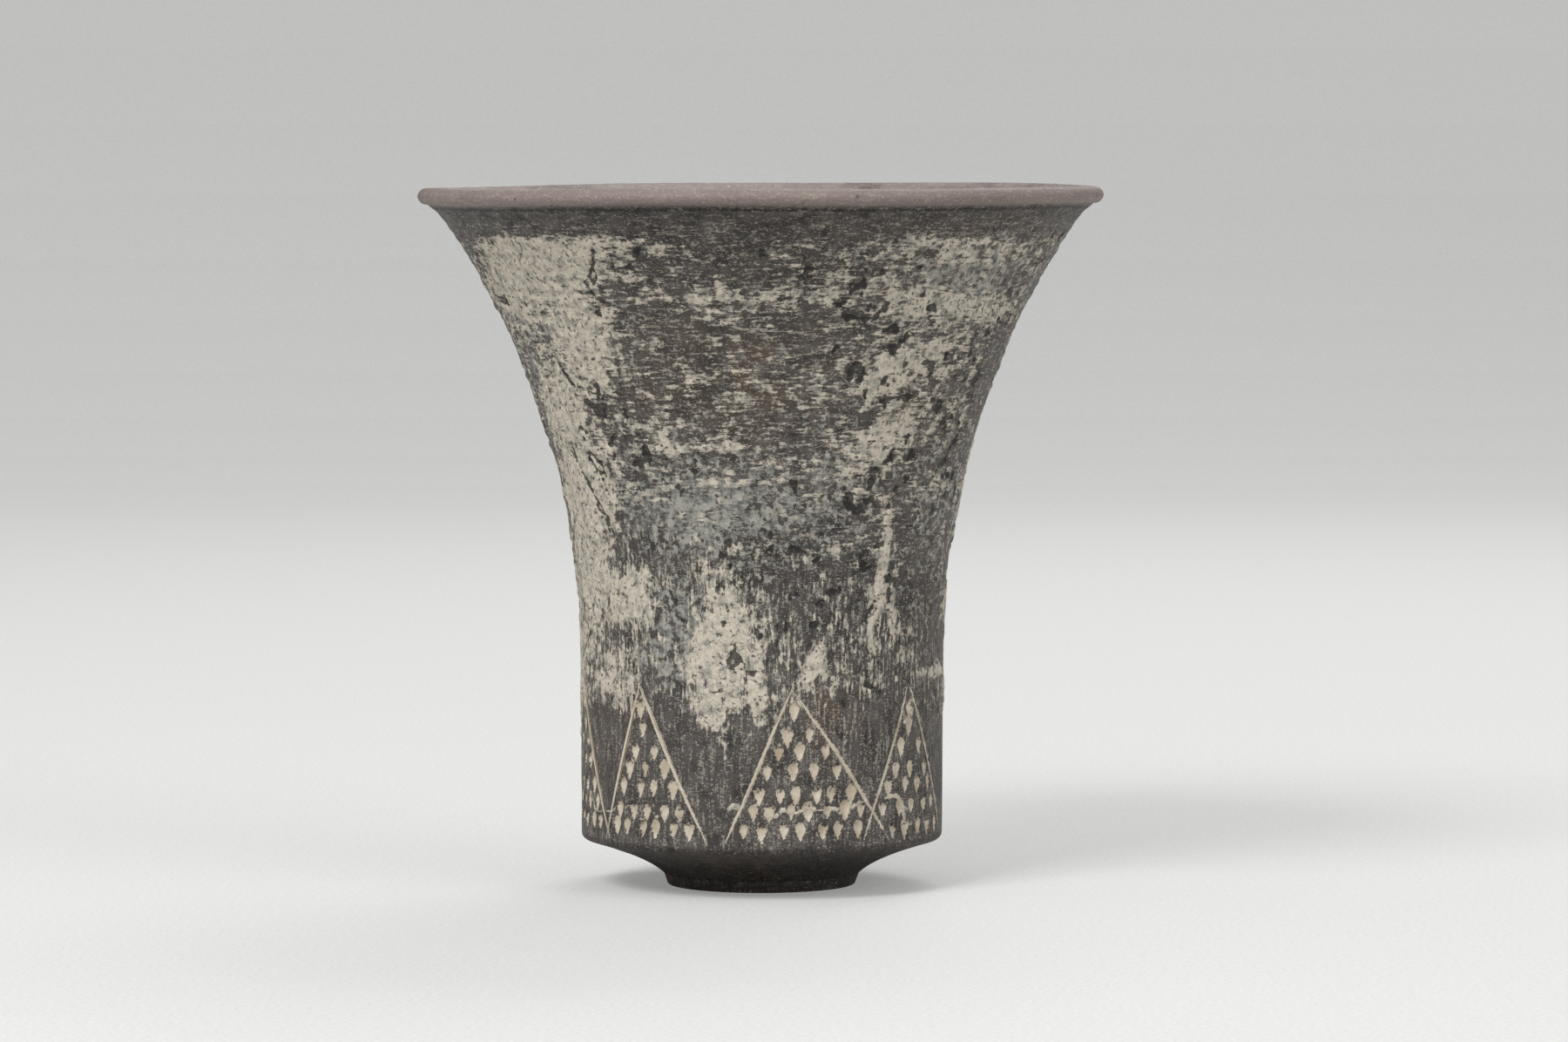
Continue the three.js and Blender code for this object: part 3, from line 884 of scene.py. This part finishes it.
class BEAKER_OT_clay(bpy.types.Operator):
    """Make the foot, the bowl, the strips of wall and the lip"""

    bl_idname = "beaker.clay"
    bl_label = "Clay"

    def execute(self, context):
        finish = context.scene.beaker_finish
        colours = (finish.clay, finish.shade, finish.rim, finish.crust)
        base_colours = (finish.base, finish.shade, finish.base, finish.crust)
        wall = clay_material("worn_wall_clay", *colours, WALL_SPECKLE)
        rim = clay_material("rubbed_rim_clay", *colours, RIM_SPECKLE)
        base = clay_material("dusty_base_clay", *base_colours, BASE_SPECKLE)
        foot = weathered(spun("disc_foot", foot_section()), all_outside)
        dressed(foot, "foot_disc", base)
        bowl = weathered(spun("shallow_bowl", bowl_section()), bowl_faces_in)
        dressed(bowl, "base_bowl", base)
        upper_strips = len(STRIPS) - 1
        rises = [EDGE_HEIGHT, BAND_TOP]
        rises += [BAND_TOP + (LIP_FOOT - BAND_TOP) * (i + 1) / upper_strips for i in range(upper_strips)]
        for i, (name, cad_node) in enumerate(STRIPS):
            lap = LAP if i < upper_strips else 0
            strip = weathered(spun(name, strip_section(rises[i], rises[i + 1], lap)), wall_faces_in)
            dressed(strip, cad_node, wall)
        lip = weathered(spun("rim_roll", lip_section()), wall_faces_in)
        dressed(lip, "rolled_lip", rim)
        return {"FINISHED"}


class BEAKER_OT_paste(bpy.types.Operator):
    """Give the paste in the incised lines its chalky finish"""

    bl_idname = "beaker.paste"
    bl_label = "Line paste"

    def execute(self, context):
        material = plain_material("chalky_paste", LINE_PASTE, 0.95)
        for name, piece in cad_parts.items():
            if name.startswith("line_paste"):
                piece.data.materials.clear()
                piece.data.materials.append(material)
        return {"FINISHED"}


# The studio: a square floor that curves up into a backdrop, and how much it glows for the camera alone.
FLOOR_SIZE = 8
BACKDROP_HEIGHT = 5
BACKDROP_CURVE = 2.4
FLOOR_GLOW = 0.22
SKY_STRENGTH = 0.46
SENSOR_WIDTH = 36

# Each lamp's name, place, power in watts and size.
LAMPS = (
    ("key", (-0.9, -1.3, 1.5), 26.0, 0.8),
    ("fill", (1.3, -1.0, 0.9), 7.0, 1.0),
    ("back", (0.4, 1.1, 1.3), 8.0, 0.8),
)

# Where the middle of the photograph falls on the pot's middle plane.
AIM_ACROSS = 5.2 * MM
AIM_HEIGHT = 83.1 * MM


def aimed(thing, target):
    """Turns a lamp or the camera towards a point."""
    thing.rotation_euler = (Vector(target) - thing.location).to_track_quat("-Z", "Y").to_euler()


class BEAKER_OT_stage(bpy.types.Operator):
    """Make the floor, the lights and the camera"""

    bl_idname = "beaker.stage"
    bl_label = "Stage"

    def execute(self, context):
        stage = context.scene.beaker_stage
        deselect()
        bpy.ops.mesh.primitive_plane_add(size=FLOOR_SIZE, location=(0, 0, 0))
        floor = bpy.context.object
        floor.name = "floor"
        bpy.ops.object.mode_set(mode="EDIT")
        select_edges(floor, lambda v: v.co.y > 0)
        bpy.ops.mesh.extrude_region_move(TRANSFORM_OT_translate={"value": (0, 0, BACKDROP_HEIGHT)})
        select_edges(floor, lambda v: v.co.y > 0 and v.co.z < MM)
        bpy.ops.mesh.bevel(offset=BACKDROP_CURVE, segments=32, profile=0.5)
        bpy.ops.object.mode_set(mode="OBJECT")
        pale = plain_material("pale_floor", stage.floor, 0.9)
        shader = pale.node_tree.nodes["Principled BSDF"]
        path = node(pale.node_tree, "ShaderNodeLightPath")
        glow = sum_of(pale.node_tree, "MULTIPLY", path.outputs["Is Camera Ray"], FLOOR_GLOW)
        shader.inputs["Emission Color"].default_value = (1, 1, 1, 1)
        pale.node_tree.links.new(glow, shader.inputs["Emission Strength"])
        floor.data.materials.append(pale)
        for name, place, energy, size in LAMPS:
            bpy.ops.object.light_add(type="AREA", location=place)
            light = bpy.context.object
            light.name = name
            light.data.energy = energy
            light.data.size = size
            aimed(light, (0, 0, RIM_HEIGHT / 2))
        world = context.scene.world or bpy.data.worlds.new("studio")
        context.scene.world = world
        world.use_nodes = True
        background = world.node_tree.nodes["Background"]
        background.inputs["Color"].default_value = (1, 1, 1, 1)
        background.inputs["Strength"].default_value = SKY_STRENGTH
        bpy.ops.object.camera_add(location=(0, -stage.distance, stage.eye))
        camera = bpy.context.object
        camera.data.lens = stage.lens
        camera.data.sensor_width = SENSOR_WIDTH
        aimed(camera, (AIM_ACROSS, 0, AIM_HEIGHT))
        context.scene.camera = camera
        return {"FINISHED"}


class BEAKER_PT_panel(bpy.types.Panel):
    """The beaker's steps"""

    bl_idname = "BEAKER_PT_panel"
    bl_label = "Beaker"
    bl_space_type = "VIEW_3D"
    bl_region_type = "UI"
    bl_category = "Beaker"

    def draw(self, context):
        for step in ("beaker.clay", "beaker.paste", "beaker.stage"):
            self.layout.operator(step)
        for group in (context.scene.beaker_finish, context.scene.beaker_stage):
            for name in group.__annotations__:
                self.layout.prop(group, name)


CLASSES = (
    BeakerFinish,
    BeakerStage,
    BEAKER_OT_clay,
    BEAKER_OT_paste,
    BEAKER_OT_stage,
    BEAKER_PT_panel,
)


def register():
    for made in CLASSES:
        bpy.utils.register_class(made)
    bpy.types.Scene.beaker_finish = bpy.props.PointerProperty(type=BeakerFinish)
    bpy.types.Scene.beaker_stage = bpy.props.PointerProperty(type=BeakerStage)


def unregister():
    del bpy.types.Scene.beaker_stage
    del bpy.types.Scene.beaker_finish
    for made in reversed(CLASSES):
        bpy.utils.unregister_class(made)


def main():
    register()
    bpy.context.scene.view_settings.view_transform = "Standard"
    bpy.ops.beaker.clay()
    bpy.ops.beaker.paste()
    bpy.ops.beaker.stage()


if __name__ == "__main__":
    main()
